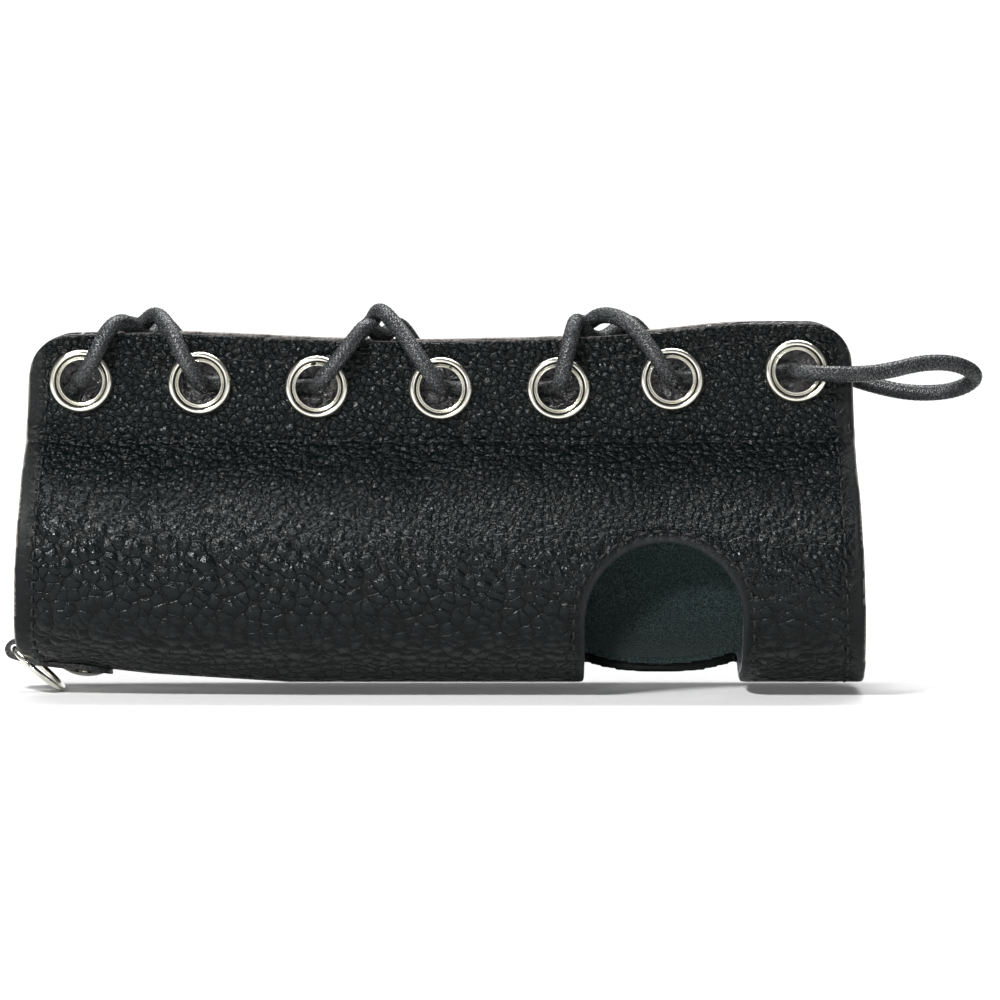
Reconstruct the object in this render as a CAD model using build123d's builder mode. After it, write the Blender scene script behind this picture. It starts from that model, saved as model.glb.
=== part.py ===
"""Lace-up leather guard for an instrument tube, in millimetres.

The guard is one sheet of leather rolled round the tube, with two upright flaps that a lace draws
together. +X runs along the tube, -Y is the side with the cut-out, +Z points up to the lacing.
The origin is on the bore's axis, midway between the two ends.
"""

import os
from math import acos, atan2, cos, hypot, radians, sin, tan

from build123d import *

# ---- wall, from the outside inwards
shell_thickness = 1.1
lining_thickness = 0.8
bore_radius = 13.3
flap_half_gap = 3.5
seam_height = 16.7
wall = shell_thickness + lining_thickness
outer_radius = bore_radius + wall
flap_face = flap_half_gap + wall
fit_gap = 0.05

# ---- silhouette seen from the side with the cut-out
half_length = 55.3
end_slant = 2.1
flap_height = 30.5
flap_corner_radius = 5.5
foot_corner_radius = 3.0
top_dip = 1.9
top_rise = 1.5
left_wave_share = 0.45
left_wave_depth = 0.55
right_wave_share = 0.55
right_wave_height = 0.1

# ---- left end, where the round part narrows
taper_start_x = -20.0
taper_middle_x = -38.0
taper_end_x = -58.0
taper_middle_rise = 1.1
taper_end_rise = 3.35
taper_radius_share = 0.42

# ---- cut-out for the thumb hook or a key
cutout_x = 28.85
cutout_radius = 10.15
cutout_top = 4.05
cutout_rear_y = 4.3
cutout_rear_bow = 2.9

# ---- eyelets: each one's share of the half length, and its drop below the flap's height
eyelet_shares = [-0.8445, -0.566, -0.2911, 0.0, 0.2767, 0.5425, 0.8354]
eyelet_drops = [6.05, 6.3, 6.8, 7.0, 7.0, 5.8, 4.75]
eyelet_places = [
    (half_length * share, flap_height - drop) for share, drop in zip(eyelet_shares, eyelet_drops)
]
eyelet_bore_radius = 2.7
eyelet_barrel_thickness = 0.35
eyelet_flange_radius = 4.1
eyelet_flange_height = 0.9
washer_thickness = 0.3
washer_radius = 3.9
eyelet_roll_height = 0.25
eyelet_roll_lip = 0.35
barrel_radius = eyelet_bore_radius + eyelet_barrel_thickness
washer_bore_radius = barrel_radius + fit_gap
flap_hole_radius = barrel_radius + fit_gap

# ---- tongue between the flaps
tongue_thickness = 0.9
tongue_inset = 2.5
tongue_foot_height = 16.1

# ---- ring, its leather tab and the rivet
ring_radius = 4.0
ring_wire_radius = 0.42
ring_rest_angle = 40.0
pivot_reach = 2.85
pivot_rise = 1.5
tab_thickness = 0.6
tab_neck_width = 2.2
tab_head_radius = 3.8
tab_eye_clearance = 0.26
tab_neck_overlap = 0.3
ring_notch_x = -53.05
ring_notch_width = 9.8
ring_notch_corner = 1.5
ring_notch_depth = 11.0
rivet_x = -46.9
rivet_cap_radius = 2.7
rivet_cap_height = 0.6
rivet_shoulder_radius_share = 0.6
rivet_shoulder_height_share = 0.72
rivet_post_radius = 1.0
rivet_back_radius = 2.2
rivet_back_height = 0.5
rivet_back_seat = 0.28

# ---- stitching
thread_height = 0.3
thread_width = 0.45
edge_stitch_inset = 2.4
cutout_stitch_inset = 1.3
seam_stitch_rise = 0.5
tab_room_length = 19.4
tab_room_width = 8.6

# ---- lace
lace_diameter = 2.2
lace_radius = lace_diameter / 2
lace_clearance = 0.12
lane = tongue_thickness / 2 + lace_clearance + lace_radius
outside = flap_face + eyelet_flange_height + lace_clearance + lace_radius
lace_sag = 0.8
lace_arc_share = 0.45
knot_radius = 1.2
knot_height_share = 1.25
knot_length = 3.2
knot_corner = 0.3

# ---- reach of cutters beyond the guard
far = 80.0
past = 5.0


# ---- wall sections and solids

def tangent_angle(radius, centre_z):
    """Angle above level at which the straight side of the wall leaves the round part."""
    rise = seam_height - centre_z
    return atan2(rise, flap_face) - acos(radius / hypot(flap_face, rise))


def side_points(depth, radius, centre_z, top):
    """Front half of the wall's outline at a depth below its outer face, from the top to the bottom."""
    angle = tangent_angle(radius, centre_z)
    inner = radius - depth
    flap_y = flap_face - depth
    corner_z = centre_z + (inner - flap_y * cos(angle)) / sin(angle)
    return (
        (flap_y, top),
        (flap_y, corner_z),
        (inner * cos(angle), centre_z + inner * sin(angle)),
        (0, centre_z - inner),
    )


def wall_face(x, radius, centre_z, near, deep, top):
    """The wall's section at x, between two depths below its outer face."""
    outer = side_points(near, radius, centre_z, top)
    inner = side_points(deep, radius, centre_z, top)
    with BuildSketch(Plane.YZ.offset(x)) as section:
        with BuildLine():
            for points in (outer, inner):
                left = [(-y, z) for y, z in points]
                Line(left[0], left[1])
                Line(left[1], left[2])
                ThreePointArc(left[2], points[3], points[2])
                Line(points[2], points[1])
                Line(points[1], points[0])
            Line((-outer[0][0], top), (-inner[0][0], top))
            Line((outer[0][0], top), (inner[0][0], top))
        make_face()
    return section.sketch.face()


def station(x):
    """Radius and centre height of the round part's outer face at x."""
    stops = [
        (taper_end_x, taper_end_rise),
        (taper_middle_x, taper_middle_rise),
        (taper_start_x, 0.0),
        (far, 0.0),
    ]
    for (low_x, low_rise), (high_x, high_rise) in zip(stops, stops[1:]):
        if low_x <= x <= high_x:
            rise = low_rise + (high_rise - low_rise) * (x - low_x) / (high_x - low_x)
            return outer_radius - taper_radius_share * rise, (1 - taper_radius_share) * rise
    return outer_radius, 0.0


def wall_band(near, deep, top=far):
    """A layer of the wall along the whole guard, not yet trimmed to the silhouette."""
    faces = [
        wall_face(x, *station(x), near, deep, top)
        for x in (taper_end_x, taper_middle_x, taper_start_x)
    ]
    with BuildPart() as band:
        extrude(faces[2], amount=half_length + end_slant - taper_start_x, dir=(1, 0, 0))
        loft([faces[0], faces[1]], ruled=True)
        loft([faces[1], faces[2]], ruled=True)
    return band.part


def bottom_at(x):
    """Height of the outer face's lowest line at x."""
    radius, centre_z = station(x)
    return centre_z - radius


def silhouette(inset=0.0):
    """A block with the guard's outline seen along Y: slanted ends, wavy top, rounded corners."""
    low = half_length - inset
    high = low - end_slant
    left_top = flap_height - inset
    right_top = left_top + top_rise
    middle_top = left_top - top_dip
    straight = flap_corner_radius + past
    foot = -outer_radius - 1
    knee = bottom_at(-half_length) + foot_corner_radius
    with BuildPart() as block:
        with BuildSketch(Plane.XZ) as outline:
            with BuildLine():
                Line((-high + straight, left_top), (-high, left_top))
                Line((-high, left_top), (-low, knee))
                Line((-low, knee), (-low + foot_corner_radius / 2, foot))
                Line((-low + foot_corner_radius / 2, foot), (low, foot))
                Line((low, foot), (high, right_top))
                Line((high, right_top), (high - straight, right_top))
                Spline(
                    (high - straight, right_top),
                    (right_wave_share * high, left_top + right_wave_height * top_rise),
                    (0, middle_top),
                    (-left_wave_share * high, left_top - left_wave_depth * top_dip),
                    (-high + straight, left_top),
                    tangents=((-1, 0), (-1, 0)),
                )
            make_face()
            corners = [v for v in outline.vertices() if v.Y > seam_height and abs(abs(v.X) - high) < fit_gap]
            fillet(corners, radius=flap_corner_radius - inset)
        extrude(amount=far, both=True)
    return block.part


def cutout_block(margin=0.0):
    """The arched cut-out: level from the front to the bore's axis, then under the tube to its rear edge."""
    radius = cutout_radius + margin
    centre_z = cutout_top - cutout_radius
    foot = -outer_radius - past
    left = cutout_x - radius
    right = cutout_x + radius
    with BuildPart() as block:
        with BuildSketch(Plane.XZ):
            with BuildLine():
                ThreePointArc((left, centre_z), (cutout_x, centre_z + radius), (right, centre_z))
                Polyline((right, centre_z), (right, foot), (left, foot), (left, centre_z))
            make_face()
        extrude(amount=far)
        with BuildSketch(Plane.XY.offset(foot)):
            with BuildLine():
                corner_y = cutout_rear_y + cutout_rear_bow + margin
                Polyline((left, corner_y), (left, -1), (right, -1), (right, corner_y))
                ThreePointArc((left, corner_y), (cutout_x, cutout_rear_y + margin), (right, corner_y))
            make_face()
        extrude(amount=-foot)
    return block.part


def eyelet_holes(side, radius):
    """Seven round cutters through one flap; side is -1 for the front flap and 1 for the rear one."""
    with BuildPart() as cutters:
        for x, z in eyelet_places:
            with BuildSketch(Plane(origin=(x, 0, z), x_dir=(1, 0, 0), z_dir=(0, side, 0))):
                Circle(radius)
            extrude(amount=far)
    return cutters.part


# ---- where the ring's tab and rivet sit, in the wall's own slope near the left end

slope = atan2(bottom_at(ring_notch_x) - bottom_at(rivet_x), rivet_x - ring_notch_x)
rivet_foot = (rivet_x, 0, bottom_at(rivet_x))
rivet_inwards = (sin(slope), 0, cos(slope))
pivot_x = ring_notch_x - pivot_reach
pivot_z = bottom_at(ring_notch_x) + pivot_rise


def rivet_bore(radius):
    """A cutter along the rivet, through the wall and both plies of the tab."""
    with BuildPart() as bore:
        with BuildSketch(Plane(origin=rivet_foot, x_dir=(0, 1, 0), z_dir=rivet_inwards)):
            Circle(radius)
        extrude(amount=2 * wall, both=True)
    return bore.part


with BuildPart() as ring_notch:
    with BuildSketch(Plane.XY.offset(-outer_radius)):
        with Locations((ring_notch_x, 0)):
            RectangleRounded(
                ring_notch_depth, ring_notch_width, ring_notch_corner, align=(Align.MAX, Align.CENTER)
            )
    extrude(amount=outer_radius)


# ---- leather layers

outline_block = silhouette()
cutout = cutout_block()
flap_holes = [eyelet_holes(-1, flap_hole_radius), eyelet_holes(1, flap_hole_radius)]
facing_foot = side_points(shell_thickness, outer_radius, 0, far)[1][1]

with BuildPart() as shell:
    add(wall_band(0, shell_thickness))
    add(outline_block, mode=Mode.INTERSECT)
    add(cutout, mode=Mode.SUBTRACT)
    add(flap_holes, mode=Mode.SUBTRACT)
    add([ring_notch.part, rivet_bore(rivet_post_radius + fit_gap)], mode=Mode.SUBTRACT)

with BuildPart() as liner_layer:
    add(wall_band(shell_thickness, wall))
    add(outline_block, mode=Mode.INTERSECT)

with BuildPart() as lining:
    add(liner_layer.part)
    split(bisect_by=Plane.XY.offset(facing_foot), keep=Keep.BOTTOM)
    add(cutout, mode=Mode.SUBTRACT)
    add([ring_notch.part, rivet_bore(rivet_post_radius + fit_gap)], mode=Mode.SUBTRACT)

facings = []
for side in (-1, 1):
    with BuildPart() as facing:
        add(liner_layer.part)
        split(bisect_by=Plane.XY.offset(facing_foot), keep=Keep.TOP)
        add(flap_holes, mode=Mode.SUBTRACT)
        split(bisect_by=Plane.XZ, keep=Keep.TOP if side < 0 else Keep.BOTTOM)
    facings.append(facing.part)

# ---- tongue, sewn to the rear facing by its foot

with BuildPart() as tongue:
    with BuildSketch(Plane.YZ):
        with Locations((0, tongue_foot_height)):
            Rectangle(tongue_thickness, far, align=(Align.CENTER, Align.MIN))
            Rectangle(flap_half_gap, tongue_thickness, align=(Align.MIN, Align.MIN))
    extrude(amount=far, both=True)
    add(silhouette(tongue_inset), mode=Mode.INTERSECT)


# ---- eyelets and washers

def make_eyelet(x, z, side):
    """A rolled eyelet: a domed flange outside, a barrel through the flap, a rolled lip over the washer."""
    face = flap_face
    back = flap_half_gap - washer_thickness
    middle = (barrel_radius + eyelet_flange_radius) / 2
    with BuildPart() as eyelet:
        with BuildSketch(Plane(origin=(x, 0, z), x_dir=(1, 0, 0), z_dir=(0, 0, -side))):
            with BuildLine():
                Line((barrel_radius, -face), (eyelet_flange_radius, -face))
                ThreePointArc(
                    (eyelet_flange_radius, -face),
                    (middle, -face - eyelet_flange_height),
                    (eyelet_bore_radius, -face + eyelet_flange_height / 2),
                )
                Line((eyelet_bore_radius, -face + eyelet_flange_height / 2), (eyelet_bore_radius, -back))
                Polyline(
                    (eyelet_bore_radius, -back),
                    (eyelet_bore_radius, -back + eyelet_roll_height),
                    (barrel_radius + eyelet_roll_lip, -back + eyelet_roll_height),
                    (barrel_radius + eyelet_roll_lip, -back),
                    (barrel_radius, -back),
                    (barrel_radius, -face),
                )
            make_face()
        revolve(axis=Axis((x, 0, z), (0, 1, 0)))
    return eyelet.part


def make_washer(x, z, side):
    """The flat washer between a flap's inner face and its eyelet's rolled lip."""
    with BuildPart() as washer:
        with BuildSketch(Plane(origin=(x, side * flap_half_gap, z), x_dir=(1, 0, 0), z_dir=(0, -side, 0))):
            Circle(washer_radius)
            Circle(washer_bore_radius, mode=Mode.SUBTRACT)
        extrude(amount=washer_thickness)
    return washer.part


# ---- tab, rivet and ring

def tab_ply(near, deep):
    """One ply of the tab, curved with the wall: a round head at the rivet and a taper to the neck."""
    with BuildPart() as ply:
        add(wall_band(near, deep))
        with BuildSketch(Plane.XY.offset(-outer_radius - past)) as plan:
            with Locations((rivet_x, 0)):
                Circle(tab_head_radius)
            with BuildLine():
                Polyline(
                    (rivet_x, tab_head_radius),
                    (ring_notch_x - tab_neck_overlap, tab_neck_width / 2),
                    (ring_notch_x - tab_neck_overlap, -tab_neck_width / 2),
                    (rivet_x, -tab_head_radius),
                    close=True,
                )
            make_face()
        extrude(amount=outer_radius, mode=Mode.INTERSECT)
    return ply.part


def neck_outline(side_gap, eye):
    """Outline of the tab's neck seen along Y, from the wall's cut-back end to round the ring's wire."""
    low = bottom_at(ring_notch_x) - side_gap
    high = bottom_at(ring_notch_x) + wall + side_gap
    with BuildSketch(Plane.XZ) as outline:
        with Locations((pivot_x, pivot_z)):
            Circle(eye)
        with Locations((ring_notch_x, (low + high) / 2)):
            Rectangle(tab_neck_overlap, high - low)
        make_hull()
    return outline.sketch


eye_radius = ring_wire_radius + tab_eye_clearance
with BuildPart() as ring_tab:
    add(tab_ply(-tab_thickness - fit_gap, -fit_gap))
    add(tab_ply(wall + fit_gap, wall + fit_gap + tab_thickness))
    extrude(
        neck_outline(fit_gap + tab_thickness, eye_radius + tab_thickness), amount=tab_neck_width / 2, both=True
    )
    extrude(neck_outline(fit_gap, eye_radius), amount=tab_neck_width, both=True, mode=Mode.SUBTRACT)
    add(rivet_bore(rivet_post_radius + fit_gap), mode=Mode.SUBTRACT)

cap_seat = tab_thickness + 2 * fit_gap
back_seat = wall + tab_thickness + rivet_back_seat
rivet_axis = Axis(rivet_foot, rivet_inwards)
rivet_plane = Plane(origin=rivet_foot, x_dir=(cos(slope), 0, -sin(slope)), z_dir=(0, -1, 0))

with BuildPart() as tab_rivet:
    with BuildSketch(rivet_plane):
        with BuildLine():
            Line((0, back_seat + rivet_back_height), (0, -cap_seat - rivet_cap_height))
            ThreePointArc(
                (0, -cap_seat - rivet_cap_height),
                (
                    rivet_shoulder_radius_share * rivet_cap_radius,
                    -cap_seat - rivet_shoulder_height_share * rivet_cap_height,
                ),
                (rivet_cap_radius, -cap_seat),
            )
            Polyline(
                (rivet_cap_radius, -cap_seat),
                (rivet_post_radius, -cap_seat),
                (rivet_post_radius, back_seat + rivet_back_height),
                (0, back_seat + rivet_back_height),
            )
        make_face()
    revolve(axis=rivet_axis)

with BuildPart() as tab_rivet_back:
    with BuildSketch(rivet_plane):
        with Locations(((rivet_post_radius + rivet_back_radius) / 2, back_seat + rivet_back_height / 2)):
            Rectangle(rivet_back_radius - rivet_post_radius, rivet_back_height)
    revolve(axis=rivet_axis)

rest = radians(ring_rest_angle)
ring_centre = (pivot_x + ring_radius * cos(rest), 0, pivot_z - ring_radius * sin(rest))
with BuildPart() as ring:
    with BuildSketch(Plane(origin=ring_centre, x_dir=(cos(rest), 0, -sin(rest)), z_dir=(0, 1, 0))):
        with Locations((ring_radius, 0)):
            Circle(ring_wire_radius)
    revolve(axis=Axis(ring_centre, (sin(rest), 0, cos(rest))))


# ---- stitching: low threads on the outer face

thread_layer = wall_band(-thread_height, -fit_gap / 5)


def slab(low_z, high_z):
    """A level slab across the whole guard."""
    with BuildPart() as block:
        with BuildSketch(Plane.XY.offset(low_z)):
            Rectangle(4 * far, far)
        extrude(amount=high_z - low_z)
    return block.part


edge_strip = [silhouette(edge_stitch_inset), silhouette(edge_stitch_inset + thread_width)]
flange_room = [eyelet_holes(side, eyelet_flange_radius + 2 * fit_gap) for side in (-1, 1)]
with BuildPart() as tab_room:
    with BuildSketch(Plane.XY.offset(-outer_radius - past)):
        with Locations((rivet_x, 0)):
            Rectangle(tab_room_length, tab_room_width)
    extrude(amount=outer_radius)

with BuildPart() as edge_thread:
    add(thread_layer)
    add(edge_strip[0], mode=Mode.INTERSECT)
    add(edge_strip[1], mode=Mode.SUBTRACT)
    add(flange_room + [ring_notch.part, tab_room.part], mode=Mode.SUBTRACT)

with BuildPart() as seam_thread:
    add(thread_layer)
    seam_stitch_z = seam_height + seam_stitch_rise
    add(slab(seam_stitch_z, seam_stitch_z + thread_width), mode=Mode.INTERSECT)
    add(silhouette(edge_stitch_inset + thread_width + fit_gap), mode=Mode.INTERSECT)

with BuildPart() as cutout_thread:
    add(thread_layer)
    add(cutout_block(cutout_stitch_inset + thread_width), mode=Mode.INTERSECT)
    add(cutout_block(cutout_stitch_inset), mode=Mode.SUBTRACT)


# ---- lace: one route from the rear knot, through the eyelets, round the free loop and back

def through(eyelet, first, rise=0.0):
    """Two corners that carry the lace through an eyelet, from the given side's lane or outside."""
    x, z = eyelet_places[abs(eyelet) - 1]
    side = 1 if eyelet > 0 else -1
    inner = (x, side * lane, z)
    outer = (x, side * outside, z + rise)
    return [inner, outer] if first == "inside" else [outer, inner]


def along(start, stop, side):
    """The point midway between two eyelets, inside the gap, where the lace sags a little."""
    x = (eyelet_places[start - 1][0] + eyelet_places[stop - 1][0]) / 2
    z = (eyelet_places[start - 1][1] + eyelet_places[stop - 1][1]) / 2
    return [(x, side * (lane + fit_gap), z - lace_sag)]


# Front eyelets are negative and rear ones positive. A crossing's points lie over the flaps' top edges.
over_1_to_2 = [
    (-43.0, 7.6, 31.0),
    (-40.9, 3.8, 33.5),
    (-38.6, 0.0, 34.1),
    (-36.4, -3.8, 33.3),
    (-34.4, -7.6, 30.4),
]
under_2_to_1 = [
    (-35.0, 7.6, 30.2),
    (-36.6, 4.3, 32.6),
    (-38.6, 0.3, 31.6),
    (-40.6, -3.9, 32.8),
    (-42.7, -7.6, 30.6),
]
under_4_to_3 = [
    (-3.6, 7.6, 28.9),
    (-5.5, 4.3, 31.6),
    (-7.6, 0.3, 31.0),
    (-9.6, -3.9, 32.2),
    (-12.2, -7.6, 29.2),
]
over_4_to_3 = [
    (-3.6, -7.6, 29.0),
    (-6.0, -4.0, 32.9),
    (-8.1, 0.0, 34.0),
    (-10.3, 3.9, 32.7),
    (-12.6, 7.6, 29.4),
]
over_5_to_6 = [
    (17.2, 7.6, 30.6),
    (18.6, 3.9, 33.2),
    (20.6, 0.0, 34.0),
    (23.0, -3.9, 33.0),
    (26.3, -7.6, 29.9),
]
under_6_to_5 = [
    (26.4, 7.6, 30.4),
    (23.6, 4.2, 32.3),
    (20.8, 0.3, 31.4),
    (18.2, -3.9, 32.9),
    (16.6, -7.6, 30.0),
]
free_loop = [
    (52.0, -8.3, 25.0),
    (57.6, -6.6, 25.5),
    (63.0, -4.2, 26.4),
    (67.6, -1.9, 25.9),
    (69.6, 0.8, 24.3),
    (67.0, 3.0, 22.8),
    (61.6, 4.8, 21.9),
    (56.2, 7.0, 22.6),
    (51.2, 8.2, 24.4),
]
rear_tail = [(-49.9, lane, 21.4)]
front_tail = [(-49.9, -lane, 21.4)]

lace_route = (
    rear_tail
    + through(1, "inside")
    + over_1_to_2
    + through(-2, "outside")
    + along(2, 3, -1)
    + through(-3, "inside")
    + under_4_to_3[::-1]
    + through(4, "outside")
    + along(4, 5, 1)
    + through(5, "inside")
    + over_5_to_6
    + through(-6, "outside")
    + along(6, 7, -1)
    + through(-7, "inside")
    + free_loop
    + through(7, "outside")
    + along(6, 7, 1)
    + through(6, "inside")
    + under_6_to_5
    + through(-5, "outside")
    + along(4, 5, -1)
    + through(-4, "inside")
    + over_4_to_3
    + through(3, "outside")
    + along(2, 3, 1)
    + through(2, "inside")
    + under_2_to_1
    + through(-1, "outside")
    + front_tail
)


def corner_radii(route):
    """The largest arc that each corner's two runs allow."""
    radii = []
    for before, here, after in zip(route, route[1:], route[2:]):
        arriving = Vector(here) - Vector(before)
        leaving = Vector(after) - Vector(here)
        half_turn = radians(arriving.get_angle(leaving)) / 2
        radii.append(lace_arc_share * min(arriving.length, leaving.length) / tan(half_turn))
    return radii


lace_radii = corner_radii(lace_route)
with BuildPart() as lace:
    with BuildLine() as lace_line:
        FilletPolyline(*lace_route, radius=lace_radii)
    lace_wire = lace_line.wires()[0]
    with BuildSketch(Plane(origin=lace_wire @ 0, z_dir=lace_wire % 0)) as lace_section:
        Circle(lace_radius)
    sweep(path=lace_wire)

print("lace arc radii", [round(radius, 1) for radius in lace_radii])
print("lace length", round(lace_wire.length, 1))
print("lace volume over section times length",
      round(lace.part.volume / (lace_section.sketch.area * lace_wire.length), 4))

knots = []
for place, direction in ((0, -1), (1, 1)):
    with BuildPart() as knot:
        outwards = (lace_wire % place) * direction
        with BuildSketch(Plane(origin=lace_wire @ place, x_dir=(0, 1, 0), z_dir=outwards)):
            Ellipse(knot_radius, knot_height_share * knot_radius)
        extrude(amount=knot_length)
        fillet(knot.edges(), radius=knot_corner)
    knots.append(knot.part)


# ---- every piece to its own file

pieces = {
    "shell": shell.part,
    "lining": lining.part,
    "front_facing": facings[0],
    "rear_facing": facings[1],
    "tongue": tongue.part,
    "ring_tab": ring_tab.part,
    "tab_rivet": tab_rivet.part,
    "tab_rivet_back": tab_rivet_back.part,
    "ring": ring.part,
    "edge_thread": edge_thread.part,
    "seam_thread": seam_thread.part,
    "cutout_thread": cutout_thread.part,
    "lace": lace.part,
    "rear_lace_knot": knots[0],
    "front_lace_knot": knots[1],
}
for number, (x, z) in enumerate(eyelet_places, start=1):
    for side, name in ((-1, "front"), (1, "rear")):
        pieces[f"{name}_eyelet_{number}"] = make_eyelet(x, z, side)
        pieces[f"{name}_washer_{number}"] = make_washer(x, z, side)

os.makedirs("parts", exist_ok=True)
for name, piece in pieces.items():
    piece.label = name
    export_step(piece, f"parts/{name}.step")
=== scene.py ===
import math

import bpy
import numpy as np
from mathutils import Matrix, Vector
from mathutils.bvhtree import BVHTree
from mathutils.kdtree import KDTree


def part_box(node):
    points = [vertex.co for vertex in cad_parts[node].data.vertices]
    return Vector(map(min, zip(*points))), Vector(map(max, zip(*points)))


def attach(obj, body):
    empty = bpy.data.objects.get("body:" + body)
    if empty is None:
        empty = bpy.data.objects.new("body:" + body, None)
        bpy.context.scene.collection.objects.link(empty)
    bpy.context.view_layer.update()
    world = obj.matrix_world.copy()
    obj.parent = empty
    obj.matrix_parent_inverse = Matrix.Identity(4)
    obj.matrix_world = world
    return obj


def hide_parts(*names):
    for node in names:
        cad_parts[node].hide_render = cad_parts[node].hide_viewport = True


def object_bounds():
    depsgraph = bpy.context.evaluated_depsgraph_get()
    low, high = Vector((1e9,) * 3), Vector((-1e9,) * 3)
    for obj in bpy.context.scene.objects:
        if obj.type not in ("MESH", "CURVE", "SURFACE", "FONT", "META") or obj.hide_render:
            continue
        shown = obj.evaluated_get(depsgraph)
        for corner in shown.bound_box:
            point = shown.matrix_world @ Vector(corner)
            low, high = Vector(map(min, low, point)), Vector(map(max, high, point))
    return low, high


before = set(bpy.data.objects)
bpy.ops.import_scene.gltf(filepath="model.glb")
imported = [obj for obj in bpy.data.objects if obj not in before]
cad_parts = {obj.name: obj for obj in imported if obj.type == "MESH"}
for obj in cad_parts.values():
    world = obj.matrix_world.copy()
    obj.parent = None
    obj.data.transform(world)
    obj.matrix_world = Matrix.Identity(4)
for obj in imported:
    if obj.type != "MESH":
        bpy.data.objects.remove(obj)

cad_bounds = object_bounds()
MM = 0.001
GUARD = "guard"
shell_low, shell_high = (Vector(corner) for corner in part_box("shell"))
flap_face = 5.4 * MM
random = np.random.default_rng(7)


# ---------------------------------------------------------------- camera

CAMERA_LIFT = math.radians(3.6)
CAMERA_DISTANCE = 0.70
PICTURE_WIDTH = 0.130
SENSOR = 36.0
target = Vector((0.0077, -0.0054, 0.0090))

camera = bpy.data.objects.new("camera", bpy.data.cameras.new("camera"))
bpy.context.collection.objects.link(camera)
camera.data.sensor_width = SENSOR
camera.data.lens = SENSOR * CAMERA_DISTANCE / PICTURE_WIDTH
camera.data.clip_start = 0.01
camera.data.clip_end = 10
camera.location = target + CAMERA_DISTANCE * Vector((0, -math.cos(CAMERA_LIFT), math.sin(CAMERA_LIFT)))
camera.rotation_euler = (math.pi / 2 - CAMERA_LIFT, 0, 0)
bpy.context.scene.camera = camera
bpy.context.scene.view_settings.view_transform = "Standard"


# ---------------------------------------------------------------- helpers

def add_object(name, data):
    """A new object in the scene's collection."""
    obj = bpy.data.objects.new(name, data)
    bpy.context.collection.objects.link(obj)
    return obj


def mesh_from(name, points, faces):
    """A smooth-shaded mesh object from arrays of points and faces."""
    mesh = bpy.data.meshes.new(name)
    mesh.from_pydata([tuple(p) for p in points], [], [tuple(f) for f in faces])
    mesh.update()
    mesh.shade_smooth()
    return add_object(name, mesh)


def node_object(name):
    """The Blender object of a CAD node."""
    return bpy.data.objects[name]


def set_material(obj, material):
    obj.data.materials.clear()
    obj.data.materials.append(material)


def points_of(obj):
    flat = np.empty(len(obj.data.vertices) * 3)
    obj.data.vertices.foreach_get("co", flat)
    return flat.reshape(-1, 3)


def set_points(obj, points):
    obj.data.vertices.foreach_set("co", points.reshape(-1))
    obj.data.update()


def set_attribute(obj, name, values):
    layer = obj.data.attributes.new(name, "FLOAT", "POINT")
    layer.data.foreach_set("value", np.asarray(values, dtype=np.float32))


def smoothstep(low, high, value):
    t = np.clip((value - low) / (high - low), 0, 1)
    return t * t * (3 - 2 * t)


# ---------------------------------------------------------------- materials

BRAID_STRANDS = 8
BRAID_PITCH = 5.6 * MM
BRAID_WEAVE = 0.6      # how far one strand rides over the other at a crossing


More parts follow.
